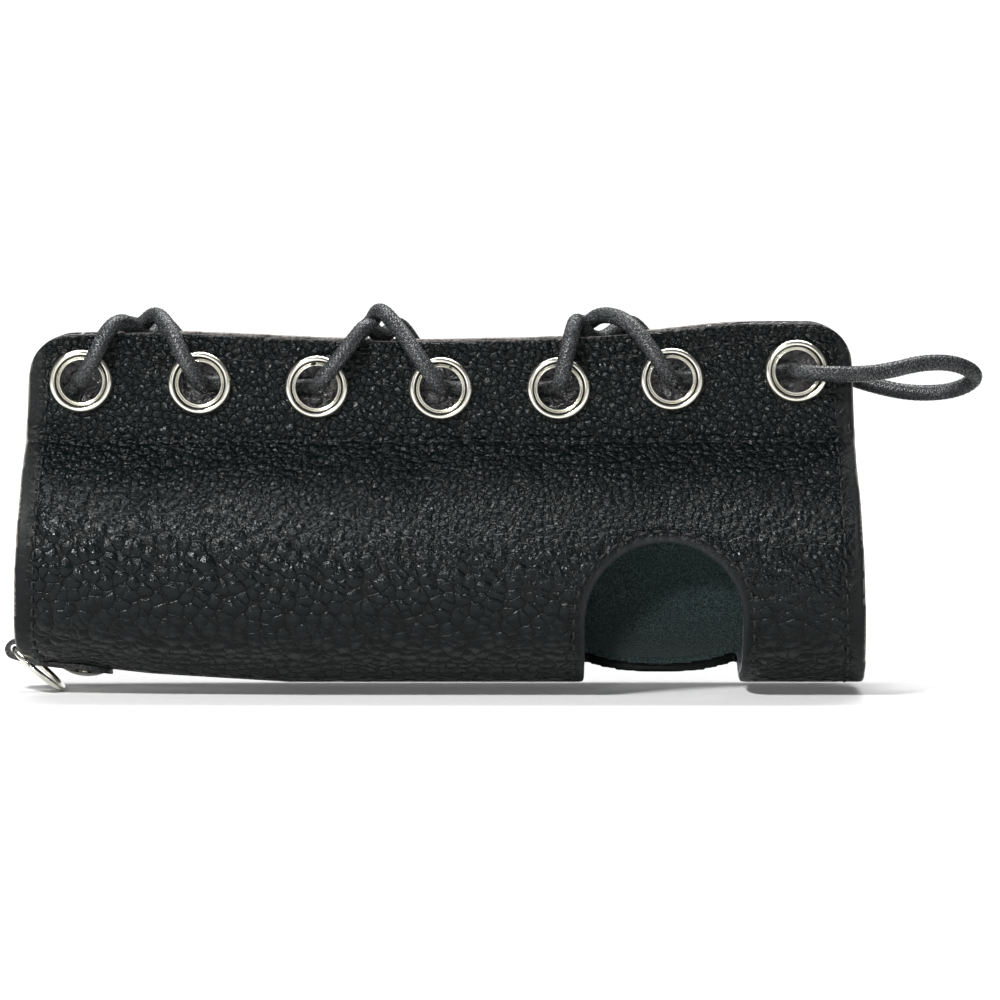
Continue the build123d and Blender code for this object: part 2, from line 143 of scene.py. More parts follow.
class Shader:
    """Short calls for building one node material."""

    def __init__(self, name):
        self.material = bpy.data.materials.new(name)
        self.material.use_nodes = True
        self.nodes = self.material.node_tree.nodes
        self.links = self.material.node_tree.links
        self.surface = self.nodes["Principled BSDF"]

    def node(self, kind, **settings):
        made = self.nodes.new(kind)
        for key, value in settings.items():
            setattr(made, key, value)
        return made

    def link(self, output, target):
        self.links.new(output, target)

    def feed(self, target, value):
        """Links an output to a socket, or sets the socket's own value."""
        if isinstance(value, bpy.types.NodeSocket):
            self.link(value, target)
        else:
            target.default_value = value

    def place(self):
        return self.node("ShaderNodeTexCoord").outputs["Object"]

    def attribute(self, name):
        return self.node("ShaderNodeAttribute", attribute_name=name).outputs["Fac"]

    def noise(self, scale, detail=3.0, roughness=0.5, vector=None, distortion=0.0, color=False):
        made = self.node("ShaderNodeTexNoise")
        self.feed(made.inputs["Vector"], vector if vector is not None else self.place())
        made.inputs["Scale"].default_value = scale
        made.inputs["Detail"].default_value = detail
        made.inputs["Roughness"].default_value = roughness
        made.inputs["Distortion"].default_value = distortion
        return made.outputs["Color" if color else "Fac"]

    def voronoi(self, scale, vector=None, feature="F1"):
        made = self.node("ShaderNodeTexVoronoi", feature=feature)
        self.feed(made.inputs["Vector"], vector if vector is not None else self.place())
        made.inputs["Scale"].default_value = scale
        return made.outputs["Distance"]

    def edges(self, scale, width, vector=None):
        """0 on the borders of Voronoi cells, rising to 1 at a width given in cells."""
        return self.remap(self.voronoi(scale, vector, "DISTANCE_TO_EDGE"), 0.0, width)

    def math(self, operation, a, b=0.0, clamp=False):
        made = self.node("ShaderNodeMath", operation=operation, use_clamp=clamp)
        self.feed(made.inputs[0], a)
        self.feed(made.inputs[1], b)
        return made.outputs[0]

    def times(self, a, b):
        return self.math("MULTIPLY", a, b)

    def plus(self, a, b):
        return self.math("ADD", a, b)

    def remap(self, value, low, high, to_low=0.0, to_high=1.0, smooth=True):
        made = self.node("ShaderNodeMapRange", interpolation_type="SMOOTHSTEP" if smooth else "LINEAR")
        self.feed(made.inputs["Value"], value)
        made.inputs["From Min"].default_value = low
        made.inputs["From Max"].default_value = high
        self.feed(made.inputs["To Min"], to_low)
        self.feed(made.inputs["To Max"], to_high)
        return made.outputs[0]

    def mixed(self, share, a, b):
        """A number between a and b."""
        made = self.node("ShaderNodeMix", data_type="FLOAT")
        self.feed(made.inputs[0], share)
        self.feed(made.inputs[2], a)
        self.feed(made.inputs[3], b)
        return made.outputs[0]

    def mix(self, share, a, b):
        made = self.node("ShaderNodeMix", data_type="RGBA")
        self.feed(made.inputs[0], share)
        self.feed(made.inputs[6], a)
        self.feed(made.inputs[7], b)
        return made.outputs[2]

    def warp(self, amount, scale):
        """Object coordinates pushed about by a noise, in metres."""
        shift = self.node("ShaderNodeVectorMath", operation="SUBTRACT")
        self.link(self.noise(scale, 2.0, color=True), shift.inputs[0])
        shift.inputs[1].default_value = (0.5, 0.5, 0.5)
        grown = self.node("ShaderNodeVectorMath", operation="SCALE")
        self.link(shift.outputs[0], grown.inputs[0])
        grown.inputs["Scale"].default_value = amount
        added = self.node("ShaderNodeVectorMath", operation="ADD")
        self.link(self.place(), added.inputs[0])
        self.link(grown.outputs[0], added.inputs[1])
        return added.outputs[0]

    def bump(self, height, distance, strength=1.0, normal=None):
        made = self.node("ShaderNodeBump")
        self.feed(made.inputs["Strength"], strength)
        made.inputs["Distance"].default_value = distance
        self.link(height, made.inputs["Height"])
        if normal is not None:
            self.link(normal, made.inputs["Normal"])
        return made.outputs[0]

    def finish(self, color=None, roughness=None, normal=None, **constants):
        if color is not None:
            self.feed(self.surface.inputs["Base Color"], color)
        if roughness is not None:
            self.feed(self.surface.inputs["Roughness"], roughness)
        if normal is not None:
            self.link(normal, self.surface.inputs["Normal"])
        for key, value in constants.items():
            self.surface.inputs[key.replace("_", " ")].default_value = value
        return self.material


def pebbled_leather(name):
    """Black litchi-grained leather, its grain's hollows painted darker as painted shade. Attributes:
    pressed smooths it, rim greys it, and the raw-edge attribute gives the raw edge's colour, also laid on
    the flaps' top edges as a painted highlight.
    """
    large_pebbles, little_pebbles = 600.0, 1050.0
    s = Shader(name)
    spot = s.warp(1.1 * MM, 380.0)
    height = s.node("ShaderNodeSeparateXYZ")
    s.link(s.place(), height.inputs[0])
    rise = height.outputs[2]
    # The pebbles are large at the foot and get finer upwards.
    finer = s.remap(s.plus(rise, s.times(height.outputs[0], 0.12)), -5 * MM, 12 * MM)
    large, little = s.voronoi(large_pebbles, spot), s.voronoi(little_pebbles, spot)
    large_edge = s.voronoi(large_pebbles, spot, "DISTANCE_TO_EDGE")
    little_edge = s.voronoi(little_pebbles, spot, "DISTANCE_TO_EDGE")
    dome = s.remap(s.mixed(finer, large, little), 0.0, 0.85, 1.0, 0.0, smooth=False)
    crease = s.remap(s.mixed(finer, large_edge, little_edge), 0.0, 0.10)
    facet = s.noise(2300.0, 2.0, 0.5, distortion=0.6)
    broken = s.edges(1700.0, 0.22, s.warp(0.5 * MM, 1100.0))
    # Wrinkles that run along the guard, beside the seam and below the flaps' top edge.
    stretched = s.node("ShaderNodeVectorMath", operation="MULTIPLY")
    s.link(s.warp(0.8 * MM, 260.0), stretched.inputs[0])
    stretched.inputs[1].default_value = (0.30, 1.0, 1.0)
    fold = s.noise(900.0, 2.0, 0.5, vector=stretched.outputs[0])
    fold = s.math("ABSOLUTE", s.times(s.math("SUBTRACT", fold, 0.5), 8.0))
    fold = s.math("SUBTRACT", 1.0, fold, clamp=True)
    near_seam = s.times(s.remap(rise, 9 * MM, 14 * MM), s.remap(rise, 19 * MM, 16.5 * MM))
    creased = s.math("MAXIMUM", near_seam, s.remap(rise, 25 * MM, 28 * MM))
    fine = s.noise(8500.0, 3.0, 0.6)
    # Heights in millimetres.
    relief = s.plus(s.times(dome, s.mixed(finer, 0.50, 0.34)), s.times(crease, 0.09))
    relief = s.plus(relief, s.times(facet, s.mixed(finer, 0.06, 0.12)))
    relief = s.plus(relief, s.times(broken, s.mixed(finer, 0.020, 0.045)))
    relief = s.math("SUBTRACT", relief, s.times(s.times(fold, creased), 0.12))
    relief = s.times(relief, s.math("SUBTRACT", 1.0, s.times(s.attribute("pressed"), 0.85)))
    normal = s.bump(fine, 0.010 * MM, 0.5, s.bump(relief, 1.0 * MM))
    # Painted shade: the grain's hollows are coloured darker than the tops of its pebbles.
    body = s.mix(s.remap(relief, 0.10, 0.50), (0.0006, 0.0013, 0.0014, 1), (0.0021, 0.0039, 0.0040, 1))
    body = s.mix(s.attribute("pressed"), body, (0.0026, 0.0036, 0.0038, 1))
    body = s.mix(s.attribute("rim"), body, (0.0075, 0.0095, 0.0100, 1))
    # The raw edge's own colour, also laid on the flaps' top edges as a painted highlight.
    body = s.mix(s.attribute("raw_edge_and_top_highlight"), body, (0.24, 0.22, 0.20, 1))
    rough = s.remap(relief, 0.10, 0.50, 0.34, 0.17, smooth=False)
    rough = s.plus(rough, s.times(s.math("SUBTRACT", fine, 0.5), 0.1))
    rough = s.plus(rough, s.times(s.attribute("pressed"), 0.18))
    rough = s.plus(rough, s.times(s.attribute("raw_edge_and_top_highlight"), 0.3))
    return s.finish(body, rough, normal, Specular_IOR_Level=0.15)


def fine_leather(name, tone):
    """The finer flat grain of the tab."""
    s = Shader(name)
    cells = s.edges(1500.0, 0.16, s.warp(0.4 * MM, 900.0))
    fine = s.noise(7000.0, 3.0)
    normal = s.bump(fine, 0.02 * MM, 0.5, s.bump(cells, 0.07 * MM))
    # Painted shade: the grain's cell borders are coloured darker than the cells.
    dark = tuple(0.5 * c for c in tone[:3]) + (1,)
    rough = s.remap(cells, 0.0, 1.0, 0.65, 0.42, smooth=False)
    return s.finish(s.mix(cells, dark, tone), rough, normal, Specular_IOR_Level=0.4)


def crinkled_leather(name):
    """The glossy, coarsely creased face of the tongue and the facings."""
    s = Shader(name)
    folds = s.edges(620.0, 0.30, s.warp(1.6 * MM, 420.0))
    creases = s.noise(1400.0, 4.0, 0.6, distortion=1.6)
    fine = s.noise(6500.0, 3.0)
    relief = s.plus(s.times(folds, 0.5), s.times(creases, 0.5))
    normal = s.bump(fine, 0.01 * MM, 0.5, s.bump(relief, 0.28 * MM))
    # Painted shade in the folds and creases, with the ridges coloured lighter.
    color = s.mix(relief, (0.006, 0.005, 0.008, 1), (0.030, 0.027, 0.036, 1))
    return s.finish(color, s.remap(fine, 0.3, 0.7, 0.12, 0.22), normal, Specular_IOR_Level=1.0)


def microsuede(name):
    """Dark green-grey suede nap with a speckle."""
    s = Shader(name)
    speck = s.noise(4600.0, 3.0, 0.7)
    grain = s.voronoi(3300.0)
    patch = s.noise(120.0, 2.0)
    dark = s.mix(s.remap(speck, 0.40, 0.66), (0.010, 0.018, 0.018, 1), (0.070, 0.110, 0.106, 1))
    color = s.mix(s.times(s.remap(patch, 0.35, 0.7), 0.35), dark, (0.028, 0.046, 0.046, 1))
    normal = s.bump(grain, 0.10 * MM, 0.7, s.bump(speck, 0.08 * MM, 0.8))
    return s.finish(color, 0.95, normal, Specular_IOR_Level=0.15, Sheen_Weight=0.18, Sheen_Roughness=0.5)


def nickel(name):
    """Polished nickel with a warm tint and faint handling marks."""
    s = Shader(name)
    marks = s.noise(1500.0, 4.0, 0.65, distortion=0.6)
    smear = s.noise(420.0, 2.0)
    rough = s.remap(smear, 0.3, 0.75, 0.15, 0.24)
    color = s.mix(s.remap(smear, 0.3, 0.8), (0.70, 0.685, 0.62, 1), (0.52, 0.51, 0.43, 1))
    return s.finish(color, rough, s.bump(marks, 0.008 * MM, 0.3), Metallic=1.0)


def waxed_braid(name):
    """Dark grey waxed cord: the weave comes from the braid map; its crests are painted lighter and its
    valleys darker, as painted light and shade.
    """
    s = Shader(name)
    weave = s.node("ShaderNodeUVMap", uv_map="braid")
    split = s.node("ShaderNodeSeparateXYZ")
    s.link(weave.outputs[0], split.inputs[0])
    turn = s.times(split.outputs[0], 2 * math.pi * BRAID_STRANDS)
    slide = s.times(split.outputs[1], 2 * math.pi * BRAID_STRANDS)
    half_right = s.times(s.plus(turn, slide), 0.5)
    half_left = s.times(s.math("SUBTRACT", turn, slide), 0.5)
    over = s.times(s.times(s.math("SINE", half_right), s.math("SINE", half_left)), BRAID_WEAVE)
    strand_right = s.plus(s.math("ABSOLUTE", s.math("COSINE", half_right)), over)
    strand_left = s.math("SUBTRACT", s.math("ABSOLUTE", s.math("COSINE", half_left)), over)
    height = s.remap(s.math("MAXIMUM", strand_right, strand_left), 0.3, 1.15)
    fibre = s.noise(7500.0, 4.0, 0.7)
    patch = s.noise(420.0, 3.0)
    # Painted light and shade: the strands' crests are coloured lighter and the valleys between them darker.
    wax_and_crest_shade = s.mix(height, (0.0005, 0.0008, 0.0010, 1), (0.0120, 0.0145, 0.0150, 1))
    # Light flecks put only on the crests: partly the wax's own colour, partly painted highlight.
    wax_and_crest_shade = s.mix(s.times(s.remap(fibre, 0.55, 0.63), height), wax_and_crest_shade, (0.24, 0.245, 0.25, 1))
    wax_and_crest_shade = s.mix(s.times(s.remap(patch, 0.42, 0.70), 0.45), wax_and_crest_shade, (0.004, 0.005, 0.0054, 1))
    normal = s.bump(fibre, 0.04 * MM, 0.6, s.bump(height, 0.10 * MM))
    return s.finish(wax_and_crest_shade, s.remap(height, 0.0, 1.0, 0.55, 0.24), normal, Specular_IOR_Level=0.3)


def bonded_thread(name):
    """Black sewing thread with a slight gloss and twist."""
    s = Shader(name)
    twist = s.noise(4200.0, 3.0, 0.6)
    color = s.mix(s.remap(twist, 0.3, 0.7), (0.002, 0.0022, 0.0024, 1), (0.006, 0.0065, 0.007, 1))
    rough = s.remap(twist, 0.3, 0.7, 0.4, 0.6)
    return s.finish(color, rough, s.bump(twist, 0.05 * MM, 0.8), Specular_IOR_Level=0.25)


def plain_floor(name):
    """Pale matte studio surface with a barely visible tooth."""
    s = Shader(name)
    tooth = s.noise(900.0, 3.0)
    color = s.mix(s.remap(tooth, 0.3, 0.7), (0.60, 0.60, 0.60, 1), (0.63, 0.63, 0.63, 1))
    return s.finish(color, 0.8, s.bump(tooth, 0.02 * MM, 0.3))


leather = pebbled_leather("pebbled_leather")
patent = crinkled_leather("crinkled_leather")
tab_leather = fine_leather("tab_leather", (0.016, 0.017, 0.017, 1))
suede = microsuede("microsuede")
metal = nickel("polished_nickel")
cord_wax = waxed_braid("waxed_braid")
thread = bonded_thread("bonded_thread")


# ---------------------------------------------------------------- lace

LACE_DIAMETER = 2.2 * MM
LACE_RADIUS = LACE_DIAMETER / 2
LANE = 1.67            # a run's distance from the middle plane inside the gap, in mm
OUTSIDE = 7.52         # its distance from the middle plane outside the eyelets
SAG = 0.8              # how far it hangs between two eyelets
LANE_SPREAD = 0.05     # how much wider it lies there
LACE_END_X, LACE_END_Z = -49.9, 21.4
EYELETS = [
    (-46.7, 24.45), (-31.3, 24.2), (-16.1, 23.7), (0.0, 23.5), (15.3, 23.5), (30.0, 24.7), (46.2, 25.75),
]


def through(eyelet, first):
    """The two corners that carry the lace through an eyelet; front eyelets are negative."""
    x, z = EYELETS[abs(eyelet) - 1]
    side = 1 if eyelet > 0 else -1
    inner, outer = (x, side * LANE, z), (x, side * OUTSIDE, z)
    return [inner, outer] if first == "inside" else [outer, inner]


def along(start, stop, side):
    """The point midway between two eyelets, inside the gap."""
    x = (EYELETS[start - 1][0] + EYELETS[stop - 1][0]) / 2
    z = (EYELETS[start - 1][1] + EYELETS[stop - 1][1]) / 2
    return [(x, side * (LANE + LANE_SPREAD), z - SAG)]


over_1_to_2 = [
    (-44.8, 8.0, 27.8), (-43.4, 6.7, 31.0), (-41.2, 4.3, 31.8), (-39.4, 1.0, 31.2),
    (-37.3, -2.4, 33.4), (-35.3, -5.6, 31.7), (-33.2, -8.1, 27.6),
]
under_2_to_1 = [
    (-33.3, 8.0, 26.8), (-35.2, 6.9, 30.4), (-36.8, 4.5, 31.9), (-37.9, 1.4, 29.7),
    (-39.2, -1.7, 30.3), (-41.2, -4.4, 32.5), (-43.2, -6.8, 31.2), (-44.7, -8.1, 27.6),
]
under_4_to_3 = [
    (-2.6, 8.0, 27.0), (-4.4, 7.0, 30.2), (-5.9, 4.5, 31.8), (-7.2, 1.4, 30.2),
    (-8.4, -1.7, 30.4), (-9.4, -4.6, 32.0), (-11.3, -6.9, 29.8), (-13.9, -8.1, 26.4),
]
over_4_to_3 = [
    (-2.3, -8.1, 26.9), (-5.2, -5.6, 31.0), (-7.9, -2.6, 34.0), (-9.0, 0.8, 32.2),
    (-9.0, 4.6, 32.1), (-10.8, 7.2, 30.2), (-13.8, 8.0, 26.8),
]
over_5_to_6 = [
    (17.2, 8.0, 27.2), (17.6, 7.0, 30.4), (18.2, 4.5, 31.9), (19.0, 1.3, 31.6),
    (20.9, -2.0, 33.2), (24.4, -5.4, 32.4), (28.0, -8.1, 27.6),
]
under_6_to_5 = [
    (28.3, 8.0, 27.4), (26.5, 7.0, 30.6), (24.3, 4.4, 32.2), (21.5, 1.4, 29.6),
    (19.2, -1.6, 30.0), (17.7, -4.5, 32.8), (16.9, -6.9, 30.4), (16.2, -8.1, 27.2),
]
free_loop = [
    (51.4, -8.4, 25.4), (57.2, -7.0, 25.6), (62.6, -4.8, 26.9), (67.4, -2.4, 26.7), (70.6, 0.6, 24.8),
    (67.4, 3.2, 22.7), (61.6, 5.0, 22.4), (56.2, 7.0, 23.6), (51.0, 8.2, 25.4),
]
lace_route = (
    [(LACE_END_X, LANE, LACE_END_Z)]
    + through(1, "inside") + over_1_to_2 + through(-2, "outside") + along(2, 3, -1)
    + through(-3, "inside") + under_4_to_3[::-1] + through(4, "outside") + along(4, 5, 1)
    + through(5, "inside") + over_5_to_6 + through(-6, "outside") + along(6, 7, -1)
    + through(-7, "inside") + free_loop + through(7, "outside") + along(6, 7, 1)
    + through(6, "inside") + under_6_to_5 + through(-5, "outside") + along(4, 5, -1)
    + through(-4, "inside") + over_4_to_3 + through(3, "outside") + along(2, 3, 1)
    + through(2, "inside") + under_2_to_1 + through(-1, "outside")
    + [(LACE_END_X, -LANE, LACE_END_Z)]
)


def spline_points(name, route, resolution):
    """Points along the smooth NURBS line whose control points are the route's, in metres."""
    curve = bpy.data.curves.new(name, "CURVE")
    curve.dimensions = "3D"
    curve.resolution_u = resolution
    spline = curve.splines.new("NURBS")
    spline.points.add(len(route) - 1)
    for point, place in zip(spline.points, route):
        point.co = (*(c * MM for c in place), 1)
    spline.order_u = 3
    spline.use_endpoint_u = True
    holder = bpy.data.objects.new(name, curve)
    mesh = bpy.data.meshes.new_from_object(holder)
    points = np.array([v.co for v in mesh.vertices])
    bpy.data.objects.remove(holder)
    bpy.data.meshes.remove(mesh)
    return points


def evenly(points, step):
    """The same line with points at an even spacing."""
    length = np.concatenate([[0], np.cumsum(np.linalg.norm(np.diff(points, axis=0), axis=1))])
    count = max(2, int(round(length[-1] / step)) + 1)
    places = np.linspace(0, length[-1], count)
    return np.stack([np.interp(places, length, points[:, i]) for i in range(3)], axis=1), length[-1]


def carried_frames(points):
    """Two cross directions carried along a line without twist."""
    tangents = np.gradient(points, axis=0)
    tangents /= np.linalg.norm(tangents, axis=1)[:, None]
    side = np.cross(tangents[0], (0.3, 0.2, 1.0))
    side /= np.linalg.norm(side)
    sides = np.empty_like(points)
    for i, tangent in enumerate(tangents):
        side = side - tangent * side.dot(tangent)
        side /= np.linalg.norm(side)
        sides[i] = side
    return sides, np.cross(tangents, sides)


def tube_faces(rings, around):
    """Quads between the rings of a tube, and one cap face at each end."""
    index = np.arange(rings * around).reshape(rings, around)
    a, b = index[:-1], index[1:]
    faces = np.stack([a, b, np.roll(b, -1, 1), np.roll(a, -1, 1)], axis=-1).reshape(-1, 4).tolist()
    faces.append(list(index[0]))
    faces.append(list(index[-1][::-1]))
    return faces


def braided_tube(name, line, radius, step, around, relief=0.30 * MM):
    """A round braid: two families of strands that cross over and under each other along a line."""
    points, length = evenly(line, step)
    sides, ups = carried_frames(points)
    angle = np.linspace(0, 2 * math.pi, around, endpoint=False)[None, :]
    distance = np.linspace(0, length, len(points))[:, None]
    turn = 2 * math.pi * distance / BRAID_PITCH
    right = BRAID_STRANDS / 2 * (angle + turn)
    left = BRAID_STRANDS / 2 * (angle - turn)
    weave = BRAID_WEAVE * np.sin(right) * np.sin(left)
    height = np.maximum(np.abs(np.cos(right)) + weave, np.abs(np.cos(left)) - weave)
    height = (height - height.min()) / (height.max() - height.min())
    away = radius - relief + relief * height
    ring = np.cos(angle)[..., None] * sides[:, None, :] + np.sin(angle)[..., None] * ups[:, None, :]
    surface = points[:, None, :] + away[..., None] * ring
    obj = mesh_from(name, surface.reshape(-1, 3), tube_faces(len(points), around))
    layer = obj.data.uv_layers.new(name="braid")
    around_share = np.arange(around) / around
    quads = np.zeros(((len(points) - 1), around, 4, 2))
    along_share = distance[:, 0] / BRAID_PITCH
    quads[..., 0, 0] = quads[..., 1, 0] = around_share
    quads[..., 2, 0] = quads[..., 3, 0] = around_share + 1 / around
    quads[..., 0, 1] = quads[..., 3, 1] = along_share[:-1, None]
    quads[..., 1, 1] = quads[..., 2, 1] = along_share[1:, None]
    corners = np.zeros((len(obj.data.loops), 2))
    corners[: quads.size // 2] = quads.reshape(-1, 2)
    layer.data.foreach_set("uv", corners.reshape(-1).astype(np.float32))
    set_material(obj, cord_wax)
    return obj, points, length


lace_line = spline_points("lace_line", lace_route, 24)
lace, lace_path, lace_length = braided_tube("braided_lace", lace_line, LACE_RADIUS, 0.18 * MM, 40)
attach(lace, GUARD)
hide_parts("lace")
for name in ("rear_lace_knot", "front_lace_knot"):
    knot = node_object(name)
    set_material(knot, cord_wax)
print("lace length", lace_length)


# ---------------------------------------------------------------- leather layers

CUTOUT_X, CUTOUT_RADIUS, CUTOUT_SPRING_Z = 28.85 * MM, 10.15 * MM, -6.1 * MM
SEAM_Z = 16.7 * MM
EDGE_INSET = 2.4 * MM          # from the free edge to its row of stitches
STITCH_PITCH = 2.0 * MM
CUTOUT_ROW_MARGIN = 1.5 * MM
CUTOUT_FOOT_Z = -14.6 * MM
FLAP_MIDDLE_Y, FLAP_MIDDLE_Z = 4.45 * MM, 22 * MM
TOP_LIFT_X = [-48, -24, -8, 4, 14, 29, 42]
TOP_LIFT = [0, 0.85, 1.05, 1.1, 0.9, 0.4, 0]
END_SLANT = 2.1 * MM           # how far each end leans inwards from foot to top
SHELL_VOXEL, SHELL_TRIANGLES = 0.33 * MM, 190000
LINING_VOXEL, LINING_TRIANGLES = 0.40 * MM, 110000
shell_tree = BVHTree.FromObject(node_object("shell"), bpy.context.evaluated_depsgraph_get())
tab_low, tab_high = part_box("ring_tab")


def hit(origin, direction):
    """Where a ray first meets the CAD shell, or None."""
    place = shell_tree.ray_cast(Vector(origin), Vector(direction).normalized())[0]
    return None if place is None else np.array(place)


def remeshed(node, name, voxel, smooth_steps, triangles, material):
    """A copy of a CAD node with even faces and softened edges, which stands for it."""
    source = node_object(node)
    obj = add_object(name, source.data.copy())
    remesh = obj.modifiers.new("even", "REMESH")
    remesh.mode = "VOXEL"
    remesh.voxel_size = voxel
    soften = obj.modifiers.new("soften", "SMOOTH")
    soften.factor = 0.5
    soften.iterations = smooth_steps
    thin = obj.modifiers.new("thin", "DECIMATE")
    bpy.context.view_layer.update()
    faces = len(obj.evaluated_get(bpy.context.evaluated_depsgraph_get()).data.polygons)
    thin.ratio = min(1.0, triangles / (2 * faces))
    result = bpy.data.meshes.new_from_object(obj.evaluated_get(bpy.context.evaluated_depsgraph_get()))
    obj.modifiers.clear()
    obj.data = result
    result.name = name
    result.shade_smooth()
    set_material(obj, material)
    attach(obj, GUARD)
    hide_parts(node)
    print(name, len(result.polygons))
    return obj


def radial_hit(x, angle):
    """The outer face at x in a direction round the bore's axis; 0 degrees is the front, -90 the bottom."""
    away = np.array((0, -math.cos(angle), math.sin(angle)))
    return hit(np.array((x, 0, 0)) + 40 * MM * away, -away)


def end_rows(side):
    """The row of stitches inside one end, from the front flap's seam round the bottom to the rear seam."""
    row = []
    for degrees in np.linspace(76, -256, 460):
        angle = math.radians(degrees)
        outer = radial_hit(side * 53.0 * MM, angle)
        if outer is None or outer[2] > SEAM_Z:
            continue
        inner = outer + 0.5 * MM * np.array((0, math.cos(angle), -math.sin(angle)))
        end = hit((side * 80 * MM, inner[1], inner[2]), (-side, 0, 0))
        if end is None:
            continue
        place = radial_hit(end[0] - side * EDGE_INSET, angle)
        if place is not None:
            row.append(place)
    return np.array(row)


def flap_rows(side):
    """The row inside the free edges of one flap: up one end, along the top and down the other."""
    middle = np.array((0, side * FLAP_MIDDLE_Y, FLAP_MIDDLE_Z))
    edge = []
    for degrees in np.linspace(-20, 200, 2200):
        angle = math.radians(degrees)
        ray = np.array((math.cos(angle), 0, math.sin(angle)))
        place = hit(middle + 120 * MM * ray, -ray)
        if place is not None and (place[2] > 25 * MM or abs(place[0]) > 50 * MM):
            edge.append(place)
    edge, _ = evenly(np.array(edge), 0.5 * MM)
    along_edge = np.gradient(edge, axis=0)
    inward = np.stack([-along_edge[:, 2], 0 * along_edge[:, 0], along_edge[:, 0]], axis=1)
    inward /= np.linalg.norm(inward, axis=1)[:, None]
    row = edge + EDGE_INSET * inward
    row = row[row[:, 2] > SEAM_Z + 0.8 * MM]
    row[:, 1] = side * flap_face
    return row


def seam_row(side):
    """The row along the foot of one flap."""
    xs = np.arange(-53.4, 53.5, 0.5) * MM
    return np.array([(x, side * flap_face, SEAM_Z) for x in xs])


def cutout_row(margin):
    """The row round the arched cut-out, on the front of the shell."""
    radius = CUTOUT_RADIUS + margin
    leg = np.linspace(CUTOUT_FOOT_Z, CUTOUT_SPRING_Z, 20)
    outline = [(CUTOUT_X - radius, z) for z in leg[:-1]]
    for angle in np.linspace(0, math.pi, 80):
        outline.append((CUTOUT_X - radius * math.cos(angle), CUTOUT_SPRING_Z + radius * math.sin(angle)))
    outline += [(CUTOUT_X + radius, z) for z in np.linspace(CUTOUT_SPRING_Z, CUTOUT_FOOT_Z, 20)[1:]]
    row = [hit((x, -60 * MM, z), (0, 1, 0)) for x, z in outline]
    return np.array([place for place in row if place is not None and place[1] < 0])


end_lines = [end_rows(-1), end_rows(1)]
flap_lines = [flap_rows(-1), flap_rows(1)]
seam_lines = [seam_row(-1), seam_row(1)]
arch_line = cutout_row(CUTOUT_ROW_MARGIN)
shell = remeshed("shell", "leather_shell", SHELL_VOXEL, 5, SHELL_TRIANGLES, leather)
lining = remeshed("lining", "suede_lining", LINING_VOXEL, 2, LINING_TRIANGLES, suede)


def normals_of(obj):
    flat = np.empty(len(obj.data.vertices) * 3)
    obj.data.vertices.foreach_get("normal", flat)
    return flat.reshape(-1, 3)


def nearest(points, line):
    """Distance of each point to a line's points, and how far along the line the nearest one is."""
    tree = KDTree(len(line))
    for i, place in enumerate(line):
        tree.insert(place, i)
    tree.balance()
    found = [tree.find(p) for p in points]
    return np.array([f[2] for f in found]), np.array([f[1] for f in found])


def arch_distance(points):
    """Distance in the side view from the arched cut-out's outline, outwards."""
    across = points[:, 0] - CUTOUT_X
    above = np.maximum(points[:, 2] - CUTOUT_SPRING_Z, 0)
    return np.hypot(across, above) - CUTOUT_RADIUS


def sink_stitches(points, normals):
    """Moves the points: grooves under the rows of stitches, and ripples in the leather below the seams."""
    groove_depth, pucker_depth, groove_width = 0.20 * MM, 0.06 * MM, 0.48 * MM
    ripple_depth, ripple_below, ripple_reach = 0.10 * MM, 3 * MM, 2.6 * MM
    line_step = 0.2 * MM
    side_face = np.abs(points[:, 1]) > flap_face - 0.3 * MM
    outside = side_face | (np.abs(normals[:, 0]) > 0.5) | (np.abs(normals[:, 2]) > 0.5)
    push = np.zeros(len(points))
    for line in end_lines + flap_lines + seam_lines + [arch_line]:
        gap, place = nearest(points, evenly(line, line_step)[0])
        pucker = 0.5 - 0.5 * np.cos(2 * math.pi * place * line_step / STITCH_PITCH)
        groove = np.exp(-((gap / groove_width) ** 2)) * (gap < 2 * MM)
        push -= (groove_depth + pucker_depth * pucker) * groove
    ripple = ripple_depth * np.sin(points[:, 0] / (3.1 * MM) + 2 * np.sin(points[:, 0] / (9 * MM)))
    near_seam = np.exp(-(((points[:, 2] - SEAM_Z + ripple_below) / ripple_reach) ** 2))
    push += ripple * near_seam * (points[:, 2] < SEAM_Z)
    facing_out = points[:, 1] * normals[:, 1] + 0.3 * points[:, 2] * normals[:, 2] > -1e-4
    points += (push * (outside & facing_out))[:, None] * normals


